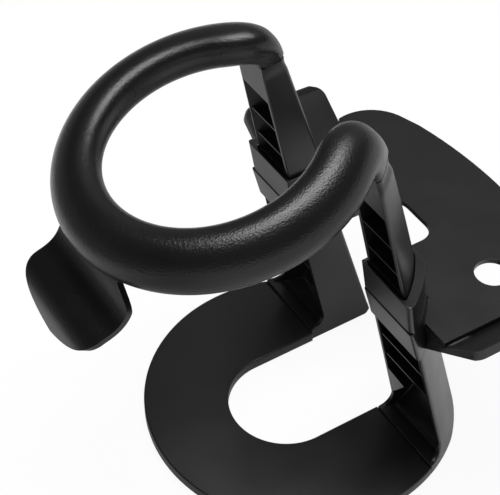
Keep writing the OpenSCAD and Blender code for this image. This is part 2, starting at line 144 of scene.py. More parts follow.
# Compression moulded rubber: dull, dark, with a slight bloom in spots a few mm wide
def mouldedRubber(look):
    material, tree = newMaterial("moulded black rubber")
    where = addNode(tree, "ShaderNodeTexCoord").outputs["Object"]
    bloom = addNode(tree, "ShaderNodeTexNoise", {},
                    {"Vector": where, "Scale": look["spotsPerMetre"], "Detail": look["detail"]})
    tint = addNode(tree, "ShaderNodeMix", {"data_type": "RGBA"},
                   {"Factor": bloom.outputs["Fac"], "A": srgb(look["dark"]), "B": srgb(look["light"])})
    bump = addNode(tree, "ShaderNodeBump", {},
                   {"Height": bloom.outputs["Fac"], "Strength": look["bump"],
                    "Distance": look["depthMm"] * mm})
    shader = addNode(tree, "ShaderNodeBsdfPrincipled", {},
                     {"Base Color": tint.outputs["Result"], "Roughness": look["roughness"],
                      "IOR": look["ior"], "Normal": bump.outputs["Normal"]})
    addNode(tree, "ShaderNodeOutputMaterial", {}, {"Surface": shader.outputs["BSDF"]})
    return material


# Zinc plated steel, rolled and turned: grey, with a fine drift in tone and gloss
def platedSteel(look):
    material, tree = newMaterial("zinc plated steel")
    where = addNode(tree, "ShaderNodeTexCoord").outputs["Object"]
    streak = addNode(tree, "ShaderNodeTexNoise", {},
                     {"Vector": where, "Scale": look["spotsPerMetre"], "Detail": look["detail"]})
    tint = addNode(tree, "ShaderNodeMix", {"data_type": "RGBA"},
                   {"Factor": streak.outputs["Fac"], "A": srgb(look["dark"]), "B": srgb(look["light"])})
    smooth, rough = look["roughness"]
    gloss = addNode(tree, "ShaderNodeMapRange", {},
                    {"Value": streak.outputs["Fac"], "To Min": smooth, "To Max": rough})
    shader = addNode(tree, "ShaderNodeBsdfPrincipled", {},
                     {"Base Color": tint.outputs["Result"], "Metallic": 1.0,
                      "Roughness": gloss.outputs["Result"]})
    addNode(tree, "ShaderNodeOutputMaterial", {}, {"Surface": shader.outputs["BSDF"]})
    return material


feetRubber = mouldedRubber({"dark": "#111111", "light": "#1c1c1b", "spotsPerMetre": 300.0, "detail": 4.0,
                            "bump": 0.3, "depthMm": 0.1, "roughness": 0.7, "ior": 1.52})
screwSteel = platedSteel({"dark": "#7d8084", "light": "#a4a8ab", "spotsPerMetre": 1500.0, "detail": 3.0,
                          "roughness": (0.28, 0.45)})
print("materials made")


weld = 1e-6  # points closer than this, in metres, are one


def makePiece(name, vertices, faces, material, body, slot, replaced=()):
    # vertices in mm; points that meet are merged, normals point out and the object stays at the origin
    mesh = bpy.data.meshes.new(name)
    mesh.from_pydata(toFrame(vertices).tolist(), [], faces)
    work = bmesh.new()
    work.from_mesh(mesh)
    bmesh.ops.remove_doubles(work, verts=work.verts, dist=weld)
    bmesh.ops.recalc_face_normals(work, faces=work.faces)
    work.to_mesh(mesh)
    work.free()
    return finishPiece(name, mesh, material, body, replaced)


def finishPiece(name, mesh, material, body, replaced=()):
    mesh.materials.clear()
    mesh.materials.append(material)
    mesh.shade_smooth()
    piece = bpy.data.objects.new(name, mesh)
    bpy.context.scene.collection.objects.link(piece)
    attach(piece, body)
    if replaced:
        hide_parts(*replaced)
    return piece


def gridFaces(rows, columns, wrapColumns=False):
    # quads of a grid of points, row after row, with each row closed round where asked
    r = np.arange(rows - 1)[:, None]
    c = np.arange(columns if wrapColumns else columns - 1)[None, :]
    r2, c2 = r + 1, (c + 1) % columns
    quads = np.stack([r * columns + c, r * columns + c2, r2 * columns + c2, r2 * columns + c], -1)
    return quads.reshape(-1, 4).tolist()


def endCaps(rows, columns):
    # one face over each end of a closed tube of points
    last = (rows - 1) * columns
    return [list(range(columns))[::-1], list(range(last, last + columns))]


def joinTubes(parts):
    # points and faces of one or more closed tubes, one after the other
    faces, first = [], 0
    for part in parts:
        r, c = part.shape[:2]
        faces += [[v + first for v in f] for f in gridFaces(r, c, wrapColumns=True) + endCaps(r, c)]
        first += r * c
    return np.concatenate([part.reshape(-1, 3) for part in parts]), faces


def signedPower(v, e):
    return np.sign(v) * np.abs(v) ** e


ring = {"radius": 64.2, "middleY": -44.0, "pivotY": -36.0, "pivotZ": 214.4, "tilt": 14.5,
        "width": 26.0, "height": 24.8, "lean": 0.3, "arcEnd": 125.5, "ringPull": 0.72, "legPull": 0.27,
        "legInnerX": 35.5, "endHalf": 10.0, "endDepth": 16.2, "endSlant": 0.85, "endPower": 0.62,
        "endBack": 0.8, "seamZ": 212.5, "legLean": 15.3, "seamEdge": 0.9,
        "groove": 0.06, "grooveRadius": 12.5, "grooveAngle": 1.0, "grooveSteps": (0.5, 1.2, 2.2),
        "arcRows": 90, "bendRows": 30, "columns": 88}
# front and back edges of the legs and sockets, seen from the side: a height, the depth there and the slope
legEdges = {"upperFront": (137.3, 22.1, -0.226), "upperBack": (151.7, 39.0, -0.321),
            "lowerFront": (0.0, 52.0, -0.232), "lowerBack": (0.0, 83.0, -0.308),
            "blockFront": (0.0, 54.0, -0.271),
            "socketFront": (113.0, 23.9, -0.163), "socketBack": (113.0, 49.0, -0.09)}


def edgeAt(name, z):
    # depth of a leaning edge at a height
    height, depth, slope = legEdges[name]
    return depth + slope * (z - height)


def upperFront(z):
    return edgeAt("upperFront", z)


def upperBack(z):
    return edgeAt("upperBack", z)


def ringEnd(r, k):
    # the ring's section where it meets a leg, in the plane of the seam, at angles k round its middle
    y = r["endDepth"] / 2 * signedPower(np.sin(k), r["endPower"])
    half = r["endHalf"] - np.where(np.cos(k) > 0, r["endSlant"] * y, 0)
    return half * signedPower(np.cos(k), r["endPower"]), y


def ringSurface(r):
    # A leaning oval carried round a tilted circle from its front to arcEnd; from there each line of
    # the skin is a cubic that leaves along the circle and arrives along the leg, on the seam's section.
    tilt, lean = math.radians(r["tilt"]), math.radians(r["legLean"])
    up = np.array([0.0, -math.sin(tilt), math.cos(tilt)])
    legDown = np.array([0.0, math.sin(lean), -math.cos(lean)])
    legBack = np.array([0.0, math.cos(lean), math.sin(lean)])
    turn = np.array([[1, 0, 0], [0, math.cos(tilt), math.sin(tilt)], [0, -math.sin(tilt), math.cos(tilt)]])
    pivot = np.array([0.0, r["pivotY"], r["pivotZ"]])
    flat = np.linspace(0, 2 * np.pi, r["columns"], endpoint=False)
    steps = np.radians(r["grooveSteps"])
    near = np.concatenate([-steps, steps])
    k = np.unique(np.round(np.concatenate([flat, near % (2 * np.pi), near + np.pi]), 6))
    apart = np.abs(np.sin(k))  # zero on the two parting lines
    dip = 1 - r["groove"] / r["grooveRadius"] * np.exp(-(apart / math.radians(r["grooveAngle"])) ** 2)
    leaning = math.sqrt(1 - r["lean"] ** 2) * np.sin(k) - r["lean"] * np.cos(k)
    oval = np.stack([r["width"] / 2 * np.cos(k), r["height"] / 2 * leaning], -1) * dip[:, None]

    def along(a):
        # middle of the section, its outward direction and its heading
        a = np.atleast_1d(a)[:, None, None]
        out = np.concatenate([np.sin(a), -np.cos(a), 0 * a], -1)
        middle = out * r["radius"] + (0.0, r["middleY"] - r["pivotY"], 0.0)
        way = np.concatenate([np.cos(a), np.sin(a), 0 * a], -1)
        return middle @ turn + pivot, out @ turn, way @ turn

    angles = np.radians(np.linspace(0, r["arcEnd"], r["arcRows"]))
    middle, out, _ = along(angles)
    arc = middle + oval[None, :, :1] * out + oval[None, :, 1:] * up
    start = arc[-1]
    heading = along(angles[-1])[2][0, 0]
    seamY = (upperFront(r["seamZ"]) + upperBack(r["seamZ"])) / 2
    x, y = ringEnd(r, k)
    end = np.array([r["legInnerX"] + r["endHalf"], seamY, r["seamZ"]]) + (y[:, None] + r["endBack"]) * legBack
    end[:, 0] += x
    gap = np.linalg.norm(end - start, axis=1)[:, None]
    t = np.linspace(0, 1, r["bendRows"])[1:, None, None]
    bend = ((1 - t) ** 3 * start + 3 * (1 - t) ** 2 * t * (start + r["ringPull"] * gap * heading)
            + 3 * (1 - t) * t ** 2 * (end - r["legPull"] * gap * legDown) + t ** 3 * end)
    # the last rows turn in over the rounded edge at the seam
    inward = end.mean(0) - end
    inward = inward / np.linalg.norm(inward, axis=1)[:, None]
    edge = np.stack([end - r["seamEdge"] * legDown, end + r["seamEdge"] * inward])
    half = np.concatenate([arc, bend[:-1], edge])
    return np.concatenate([half[:0:-1] * (-1, 1, 1), half])


skin = ringSurface(ring)
makePiece("ring", *joinTubes([skin]), ringAbs, "ring_frame", "grained_abs",
          ("ring_upper_shell", "ring_lower_shell"))
print("ring made:", skin.shape[0], "by", skin.shape[1])


rest = {"neckY": -104.5, "neckTop": 187.0, "neckEnd": 169.0, "turn": (-119.0, 158.0), "fall": (-0.96, -0.28),
        "pullBack": 11.0, "pullOn": 9.0, "tipY": -131.5, "tipZ": 140.5, "tipPull": 11.0, "thick": 3.0,
        "neckHalf": 20.4, "wideHalf": 33.2, "flareTop": 178.0, "flareEnd": 167.5, "taperTop": 157.0,
        "taperIn": 1.6, "taperOut": 0.85, "tipHalf": 0.4, "edge": 0.9, "edgeAngle": 1.0,
        "rows": 40, "columns": 61}


def cubic(points, t):
    # point at t on a cubic with four control points
    p, t = np.asarray(points, float), np.asarray(t)[:, None]
    return (1 - t) ** 3 * p[0] + 3 * (1 - t) ** 2 * t * p[1] + 3 * (1 - t) * t ** 2 * p[2] + t ** 3 * p[3]


def restSurface(r):
    # Two cubics in Y and Z, down from the ring, forwards and down again at the tip, across which runs
    # a half width by height: the neck, a smooth step out to the full width and a blunt point.
    turn, fall = np.array(r["turn"]), np.array(r["fall"])
    neck = [(r["neckY"], r["neckTop"]), (r["neckY"], r["neckEnd"]), turn - r["pullBack"] * fall, turn]
    tip = [turn, turn + r["pullOn"] * fall, (r["tipY"], r["tipZ"] + r["tipPull"]), (r["tipY"], r["tipZ"])]
    # rows crowd together towards the tip, where the width closes quickly
    crowd = 1 - (1 - np.linspace(0, 1, 2 * r["rows"])) ** 2
    line = np.concatenate([cubic(neck, np.linspace(0, 1, r["rows"]))[:-1], cubic(tip, crowd)])
    z = line[:, 1]
    s = np.clip((r["flareTop"] - z) / (r["flareTop"] - r["flareEnd"]), 0, 1)
    half = r["neckHalf"] + (r["wideHalf"] - r["neckHalf"]) * s * s * (3 - 2 * s)
    t = np.clip((r["taperTop"] - z) / (r["taperTop"] - r["tipZ"]), 0, 1)
    half = np.maximum(half * (1 - t ** r["taperIn"]) ** r["taperOut"], r["tipHalf"])
    v = np.linspace(-1, 1, r["columns"])
    y, z = np.repeat(line[:, :1], v.size, 1), np.repeat(line[:, 1:], v.size, 1)
    return np.stack([half[:, None] * v, y, z], -1)


skin = restSurface(rest)
restPiece = makePiece("front_rest_plate", skin.reshape(-1, 3), gridFaces(*skin.shape[:2]), ringAbs,
                      "ring_frame", "grained_abs", ("front_rest",))
wall = restPiece.modifiers.new("wall", "SOLIDIFY")
wall.thickness = rest["thick"] * mm
wall.offset = 0.0
edge = restPiece.modifiers.new("edge", "BEVEL")
edge.width, edge.segments = rest["edge"] * mm, 3
edge.limit_method, edge.angle_limit = "ANGLE", rest["edgeAngle"]
edge.harden_normals = True
print("front rest made")


base = {"radius": 88.0, "middleY": 10.0, "thick": 6.6, "slot": 32.0, "toeY": 40.0, "rim": 1.0,
        "slotEdge": 0.8, "rows": 240, "arcSteps": 6}


def baseSurface(b):
    # A rounded bar section swept along the horseshoe: at each step it spans from the slot's edge,
    # two straights and a half circle, to the rim, an arc of the disc, both walked by length.
    s = np.linspace(0, 1, b["rows"])
    straight, bow = b["toeY"], math.pi * b["slot"]
    d = s * (2 * straight + bow)
    turn = np.clip((d - straight) / b["slot"], 0, np.pi)
    run = np.where(d < straight, straight - d, np.where(d > straight + bow, d - straight - bow, 0))
    inner = np.stack([b["slot"] * np.cos(turn), run - b["slot"] * np.sin(turn)], -1)
    reach = math.asin((b["toeY"] - b["middleY"]) / b["radius"])
    phi = reach - s * (math.pi + 2 * reach)
    outer = np.stack([b["radius"] * np.cos(phi), b["middleY"] + b["radius"] * np.sin(phi)], -1)
    a = np.radians(np.linspace(0, 90, b["arcSteps"]))
    t, e, f = b["thick"], b["rim"], b["slotEdge"]
    # round the section: rim up to the top, top to the slot's edge, down and back underneath
    pieces = [(1, -e + e * np.cos(a), t - e + e * np.sin(a)), (0, f - f * np.sin(a), t - f + f * np.cos(a)),
              (0, f - f * np.cos(a), f - f * np.sin(a)), (1, -e + e * np.sin(a), e - e * np.cos(a))]
    side = np.concatenate([np.full(p[1].size, float(p[0])) for p in pieces])
    shift = np.concatenate([p[1] for p in pieces])
    height = np.concatenate([p[2] for p in pieces])
    across = outer - inner
    across = across / np.linalg.norm(across, axis=1)[:, None]
    plan = (inner[:, None] * (1 - side)[None, :, None] + outer[:, None] * side[None, :, None]
            + across[:, None] * shift[None, :, None])
    return np.concatenate([plan, np.broadcast_to(height[None, :, None], plan.shape[:2] + (1,))], -1)


makePiece("base", *joinTubes([baseSurface(base)]), frameAbs, "base_frame", "abs", ("base_plate",))
print("base made")


def coneOut(cone, y, z):
    # half width, at a depth and a height, of a round cone about a leaning axis: the square root of
    # the radius there squared less the distance from the axis in the middle plane squared
    (z0, y0, r0), (z1, y1, r1) = cone
    long = math.hypot(y1 - y0, z1 - z0)
    leanY, leanZ = (y1 - y0) / long, (z1 - z0) / long
    off = (y - y0) * leanZ - (z - z0) * leanY
    on = (y - y0) * leanY + (z - z0) * leanZ
    return np.sqrt(np.maximum((r0 + (r1 - r0) * on / long) ** 2 - off ** 2, 1.0))


def roundCorner(before, at, after, reach, steps=6):
    # parabola from the line before a corner to the line after it, starting and ending reach away from it
    def towards(p):
        d = p - at
        return at + d * (reach / np.linalg.norm(d, axis=-1, keepdims=True))

    t = np.linspace(0, 1, steps)[:, None, None]
    return (1 - t) ** 2 * towards(before) + 2 * t * (1 - t) * at + t ** 2 * towards(after)


def pair(x, y):
    return np.stack(np.broadcast_arrays(x, y), -1)


def legLoop(front, back, inner, outer, reach, arcSteps=28, step=0.05):
    # Plan sections of a leg, one for each height: straight inner, front and back walls, a round outer
    # wall and four rounded corners, taken inner front, inner back, outer back and outer front.
    inner = inner + 0 * front

    def stepIn(y, r):
        slope = (outer(y + step) - outer(y - step)) / (2 * step)
        return r / np.sqrt(1 + slope ** 2)

    y0, y1 = back - stepIn(back, reach[2]), front + stepIn(front, reach[3])
    y = y0 + (y1 - y0) * np.linspace(0, 1, arcSteps)[:, None]
    arc = pair(outer(y), y)
    a, b, c, d = pair(inner, front), pair(inner, back), pair(outer(back), back), pair(outer(front), front)
    return np.concatenate([roundCorner(d, a, b, reach[0]), roundCorner(a, b, c, reach[1]),
                           roundCorner(b, c, arc[0], reach[2])[:-1], arc,
                           roundCorner(arc[-1], d, a, reach[3])[1:]])


def channelLoop(front, back, inner, outer, reach, wall, inside, depth, edge=0.35, corner=0.8):
    # the same section opened by a channel that runs from its front back to depth, between two walls
    loop = legLoop(front, back, inner, outer, reach)
    inner = inner + 0 * front
    e, f = pair(inside(front), front), pair(inside(depth), depth)
    g, h = pair(inner + wall, depth), pair(inner + wall, front)
    y = (front + edge) + (depth - front - edge - corner) * np.linspace(0, 1, 12)[:, None]
    arc = pair(inside(y), y)
    return np.concatenate([loop, roundCorner(pair(outer(front), front), e, arc[0], edge, 4)[:-1], arc,
                           roundCorner(arc[-1], f, g, corner, 4)[1:], roundCorner(f, g, h, corner, 4),
                           roundCorner(g, h, pair(inner, front), edge, 4)])


def edgeRows(low, high, count, edgeLow=0.0, edgeHigh=0.0):
    # heights from low to high with a quarter round at an end that has an edge, and each row's inset
    a = np.radians([0, 30, 60])
    z = np.concatenate([low + edgeLow * (1 - np.cos(a)) if edgeLow else [],
                        np.linspace(low + edgeLow, high - edgeHigh, count),
                        high - edgeHigh * (1 - np.cos(a[::-1])) if edgeHigh else []])
    inset = np.concatenate([edgeLow * (1 - np.sin(a)) if edgeLow else [], np.zeros(count),
                            edgeHigh * (1 - np.sin(a[::-1])) if edgeHigh else []])
    return z, inset


def column(loop, z):
    # plan loops stacked at their heights: rows by columns by three
    plan = np.swapaxes(loop, 0, 1)
    return np.concatenate([plan, np.broadcast_to(np.asarray(z)[:, None, None], plan.shape[:2] + (1,))], -1)


def prism(outline, y0, y1):
    # an outline in X and Z carried from one depth to another
    o = np.asarray(outline, float)
    return np.stack([np.stack([o[:, 0], y + 0 * o[:, 0], o[:, 1]], -1) for y in (y0, y1)])


sharpAngle = 42.0  # edges turning more than this, in degrees, stay sharp


def makePair(names, body, parts, replaced):
    # joins closed tubes into one piece and makes it for the right side and, mirrored, for the left
    points, faces = joinTubes(parts)
    for side, name, node in zip((1, -1), names, replaced):
        piece = makePiece(name, points * (side, 1, 1), faces, frameAbs, body, "abs", (node,))
        piece.data.set_sharp_from_angle(angle=math.radians(sharpAngle))
        piece.modifiers.new("even", "WEIGHTED_NORMAL").keep_sharp = True


rib = {"thick": 1.2, "edge": 0.25, "back": 0.8, "into": 1.0, "reach": (0.3, 0.3, 0.3, 0.3)}


def crossRib(low, leg, front, back, outerAt):
    # a thin rib across a leg's channel: it stands back from the front edge and runs into the walls
    z, inset = edgeRows(low, low + rib["thick"], 2, rib["edge"], rib["edge"])
    return column(legLoop(front(z) + rib["back"] + inset, back(z) - rib["into"], leg["inner"] + rib["into"],
                          outerAt(z, leg["skin"] / 2), rib["reach"]), z)


lower = {"inner": 33.3, "wall": 2.4, "skin": 2.8, "part": 113.0, "block": 92.0, "blockEdges": (0.3, 0.5),
         "toe": 40.0, "toeTop": 8.0, "toeEdge": 0.4, "toeReach": (0.4, 0.3, 0.3, 1.2), "fillet": 8.0,
         "floor": 7.35, "footEdge": 0.8, "footReach": (0.4, 2.0, 1.6, 1.2), "heel": 3.0, "heelBack": 80.0,
         "scoopTop": 40.0, "scoopLow": 7.2, "scoopFront": 47.0, "ribs": (73.0, 55.0),
         "cone": ((0.0, -1.2, 93.9), (113.0, -22.8, 86.6)), "reach": (0.8, 2.4, 1.6, 2.7),
         "webWide": 16.5, "webHeights": (15.0, 39.0, 41.5), "webRoot": 2.0, "webFront": 0.05}


def lowerFront(z):
    return edgeAt("lowerFront", z)


def lowerBack(z):
    # the leg's back edge, or the heel's below it
    out = (edgeAt("lowerBack", lower["heel"]) - lower["heelBack"]) / lower["heel"]
    return np.minimum(edgeAt("lowerBack", z), lower["heelBack"] + out * z)


def lowerLeg(l):
    # Foot, toe, channel and block stacked up: the channel's front runs up the toe's fillet into the leg's
    # front edge, and its back runs down the leg's back and then forwards over an elliptic scoop.
    def outerAt(z, inset=0.0):
        return lambda y: np.minimum(coneOut(l["cone"], y, z),
                                    np.sqrt(base["radius"] ** 2 - (y - base["middleY"]) ** 2)) - inset

    z, inset = edgeRows(0.0, l["floor"], 4, l["footEdge"])
    foot = column(legLoop(l["toe"] + inset, lowerBack(z) - inset, l["inner"] + inset, outerAt(z, inset),
                          l["footReach"]), z)
    z, inset = edgeRows(l["floor"], l["toeTop"], 2, 0.0, l["toeEdge"])
    toe = column(legLoop(l["toe"] + inset, l["scoopFront"] - inset, l["inner"] + inset, outerAt(z, inset),
                         l["toeReach"]), z)
    top = l["toeTop"] + l["fillet"]
    rise = l["toeTop"] + l["fillet"] * (1 - np.cos(np.radians(np.linspace(0, 90, 9))))
    z = np.concatenate([[l["floor"], l["toeTop"]], rise, np.linspace(top, l["block"], 30)[1:]])
    bow = lowerFront(top) - l["fillet"] + np.sqrt(np.maximum(l["fillet"] ** 2 - (top - z) ** 2, 0))
    front = np.where(z < top, bow, lowerFront(z))
    front[:2] = l["scoopFront"]
    swing = np.arccos(np.clip((l["scoopTop"] - z) / (l["scoopTop"] - l["scoopLow"]), 0, 1))
    wallBack = lowerBack(z) - l["wall"]
    scoopBack = lowerBack(l["scoopTop"]) - l["wall"]
    scoop = l["scoopFront"] + (scoopBack - l["scoopFront"]) * np.sin(swing)
    depth = np.where(z < l["scoopTop"], scoop, wallBack)
    channel = column(channelLoop(front, lowerBack(z), l["inner"], outerAt(z), l["reach"], l["wall"],
                                 outerAt(z, l["skin"]), depth), z)
    z, inset = edgeRows(l["block"], l["part"], 4, *l["blockEdges"])
    block = column(legLoop(edgeAt("blockFront", z) + inset, lowerBack(z) - inset, l["inner"] + inset,
                           outerAt(z, inset), l["reach"]), z)
    ribs = [crossRib(low, l, lowerFront, lowerBack, outerAt) for low in l["ribs"]]
    # a three-sided web at the bend, cut off short inside the inner wall
    low, middle, high = l["webHeights"]
    near = l["webRoot"] / l["webWide"]
    x = l["inner"] + l["webWide"] * np.array([near, near, 1.0])
    z = np.array([high + (middle - high) * near, low + (middle - low) * near, middle])
    ends = lowerFront(z) + l["webFront"], lowerBack(z) - rib["into"]
    web = np.stack([np.stack([x, y, z], -1) for y in ends])
    return [foot, toe, channel, block, *ribs, web]


makePair(("right_lower_leg_moulded", "left_lower_leg_moulded"), "base_frame", lowerLeg(lower),
         ("right_lower_leg", "left_lower_leg"))
print("lower legs made")


upper = {"inner": 35.5, "wall": 2.4, "skin": 2.8, "foot": 130.15, "footEdge": 0.6, "floor": 136.0,
         "block": 188.0, "blend": 205.0, "blendEnd": 211.5, "groove": 0.9, "ribs": (166.0, 147.0),
         "cone": ((134.0, -25.0, 81.6), (208.0, -31.5, 72.4)), "reach": (0.8, 2.4, 1.6, 2.7), "ledge": 130.0,
         "plugX": 37.5, "plugWide": 11.0, "plugDeep": 13.0, "plugLong": 12.0, "plugIn": 4.0,
         "plugReach": (0.8, 0.8, 0.8, 0.8)}


def plugLoop(u, grow, along):
    # rounded bar along the line on which the leg pulls out of its socket
    lean = math.radians(ring["legLean"])
    middle = (upperFront(u["ledge"]) + upperBack(u["ledge"])) / 2
    half = u["plugDeep"] / 2 + grow + 0 * along
    outerX = u["plugX"] + u["plugWide"] + grow
    loop = legLoop(-half, half, u["plugX"] - grow, lambda y: outerX + 0 * y, u["plugReach"])
    loop = np.swapaxes(loop, 0, 1)
    up = along[:, None]
    return np.stack([loop[..., 0], middle + loop[..., 1] * math.cos(lean) - up * math.sin(lean),
                     u["ledge"] + loop[..., 1] * math.sin(lean) + up * math.cos(lean)], -1)


def upperLeg(u):
    # Channel between two solid ends; the top end leans over to the seam's plane and its section turns
    # smoothly into the ring's, matched by the angle round the middle.
    def outerAt(z, inset=0.0):
        return lambda y: coneOut(u["cone"], y, z) - inset

    z, inset = edgeRows(u["foot"], u["floor"], 3, u["footEdge"])
    foot = column(legLoop(upperFront(z) + inset, upperBack(z) - inset, u["inner"] + inset, outerAt(z, inset),
                          u["reach"]), z)
    z = np.linspace(u["floor"], u["block"], 24)
    channel = column(channelLoop(upperFront(z), upperBack(z), u["inner"], outerAt(z), u["reach"], u["wall"],
                                 outerAt(z, u["skin"]), upperBack(z) - u["wall"]), z)
    z, inset = edgeRows(u["block"], ring["seamZ"], 16, 0.0, u["groove"])
    share = np.clip((z - u["block"]) / (ring["seamZ"] - u["block"]), 0, 1)
    tilt = share * math.tan(math.radians(ring["legLean"]))
    seamY = (upperFront(ring["seamZ"]) + upperBack(ring["seamZ"])) / 2
    frontFall, backFall = -legEdges["upperFront"][2] * tilt, -legEdges["upperBack"][2] * tilt
    front = (upperFront(z) + frontFall * seamY) / (1 + frontFall) + inset
    back = (upperBack(z) + backFall * seamY) / (1 + backFall) - inset

    def leaningOuter(y):
        return coneOut(u["cone"], y, z + tilt * (y - seamY)) - inset

    head = column(legLoop(front, back, u["inner"] + inset, leaningOuter, u["reach"]), z)
    head[..., 2] += tilt[:, None] * (head[..., 1] - seamY)
    lean = math.radians(ring["legLean"])
    k = np.linspace(0, 2 * np.pi, 720, endpoint=False)
    endX, endY = ringEnd(ring, k)
    middleX = u["inner"] + ring["endHalf"]
    away = head - (middleX, seamY, 0) - ring["endBack"] * np.array([0, math.cos(lean), 0])
    turn = np.arctan2(away[..., 1] / math.cos(lean), away[..., 0])
    order = np.argsort(np.arctan2(endY, endX))
    size = np.interp(turn, np.arctan2(endY, endX)[order], np.hypot(endX, endY)[order], period=2 * np.pi)
    size = size - inset[:, None]
    rim = np.stack([middleX + size * np.cos(turn),
                    seamY + (size * np.sin(turn) + ring["endBack"]) * math.cos(lean), head[..., 2]], -1)
    rim[..., 2] = z[:, None] + tilt[:, None] * (rim[..., 1] - seamY)
    mix = np.clip((z - u["blend"]) / (u["blendEnd"] - u["blend"]), 0, 1)
    mix = (mix * mix * (3 - 2 * mix))[:, None, None]
    ribs = [crossRib(low, u, upperFront, upperBack, outerAt) for low in u["ribs"]]
    plug = plugLoop(u, 0.0, np.array([-u["plugLong"], u["plugIn"]]))
    return [foot, channel, head * (1 - mix) + rim * mix, *ribs, plug]


makePair(("right_upper_leg_moulded", "left_upper_leg_moulded"), "ring_frame", upperLeg(upper),
         ("right_upper_leg", "left_upper_leg"))
print("upper legs made")


socket = {"inner": 33.3, "low": 113.0, "rim": 134.0, "edge": 0.5, "gap": 0.6, "mouth": 0.3, "plugGap": 0.3,
          "cone": ((113.0, -22.8, 87.6), (134.0, -25.5, 87.8)), "reach": (0.8, 2.0, 1.6, 5.0),
          "holeSpare": 1.0, "lap": 5.3, "lapOut": 0.3, "lapFront": 26.0, "lapFade": 6.0, "lapX": 38.0,
          "lapHeight": 1.0}


def socketBody(s, u):
    # One skin: up the outside, over the rim, down the pocket that the leg stands in, across the ledge
    # and down the hole for its plug.
    z, inset = edgeRows(s["low"], s["rim"], 5, s["edge"], s["edge"])
    front, back = edgeAt("socketFront", z) + inset, edgeAt("socketBack", z) - inset
    outside = column(legLoop(front, back, s["inner"] + inset, lambda y: coneOut(s["cone"], y, z) - inset,
                             s["reach"]), z)
    # the outer wall's lower edge laps over the leg as far down as the shelf
    x, y = outside[..., 0], outside[..., 1]
    lap = np.clip((y - s["lapFront"]) / s["lapFade"], 0, 1) * np.clip(x - s["lapX"], 0, 1)
    lap = lap * (z < s["low"] + s["lapHeight"])[:, None]
    outside[..., 2] -= s["lap"] * lap
    away = np.stack([x, y - s["cone"][0][1]], -1)
    outside[..., :2] += s["lapOut"] * lap[..., None] * away / np.linalg.norm(away, axis=-1, keepdims=True)
    zIn = np.array([s["rim"], s["rim"] - s["mouth"], u["ledge"]])
    grow = s["gap"] + np.array([s["mouth"], 0.0, 0.0])
    pocket = column(legLoop(upperFront(zIn) - grow, upperBack(zIn) + grow, u["inner"] - grow,
                            lambda y: coneOut(u["cone"], y, zIn) + grow, u["reach"]), zIn)
    hole = plugLoop(u, s["plugGap"], np.array([0.0, -u["plugLong"] - s["holeSpare"]]))
    return [np.concatenate([outside, pocket, hole])]


makePair(("right_socket_moulded", "left_socket_moulded"), "base_frame", socketBody(socket, upper),
         ("right_socket", "left_socket"))
print("sockets made")


hook = {"rootX": 82.65, "rootZ": 105.0, "slope": 35.5, "tipX": 106.0, "front": 37.6, "back": 90.0,
        "frontRound": 5.0, "backRound": 8.0, "thick": 3.0, "lip": 2.4, "lipRoot": 1.5, "lipTip": 3.0,
        "lipEnd": 86.0, "lipFade": 9.0, "lipFoot": 0.15, "lipFillet": 0.8, "under": 25.0, "underIn": 3.0,
        "edge": 0.6, "edgeSoft": 0.3, "webGap": 0.3, "webDrop": (0.6, 0.15), "webFront": 0.05,
        "flange": ((66.0, 82.3), (57.0, 89.0), (102.0, 104.9)), "flangeEdge": 0.4,
        "flangeReach": (1.0, 1.0, 1.0, 1.0)}


